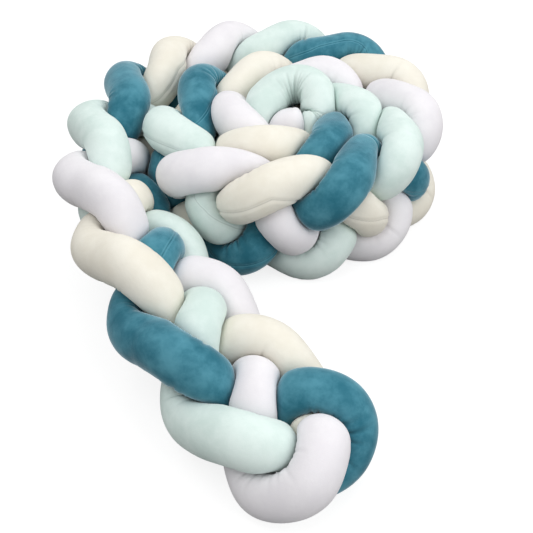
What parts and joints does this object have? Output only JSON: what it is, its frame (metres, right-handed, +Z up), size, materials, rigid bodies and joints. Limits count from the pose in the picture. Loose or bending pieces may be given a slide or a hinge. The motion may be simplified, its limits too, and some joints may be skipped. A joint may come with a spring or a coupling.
{
  "type": "crib bumper",
  "caption": "Soft crib bumper of stuffed velvet tubes plaited flat, mostly rolled up on its edge with one end left lying out.",
  "frame": {"origin": "middle of the box on the ground", "axes": "+Z up, +Y from the free end that lies out toward the roll, +X to the right of that"},
  "size_m": [0.6, 0.9818, 0.2161],
  "materials": {
    "white_velvet": "short pile velvet, very pale lavender white",
    "mint_velvet": "short pile velvet, pale mint",
    "teal_velvet": "short pile velvet, teal with lighter brushed patches",
    "cream_velvet": "short pile velvet, warm cream"
  },
  "bodies": {
    "root": {"tube_white": "white_velvet", "tube_mint": "mint_velvet", "tube_teal": "teal_velvet", "tube_cream": "cream_velvet"}
  },
  "joints": []
}
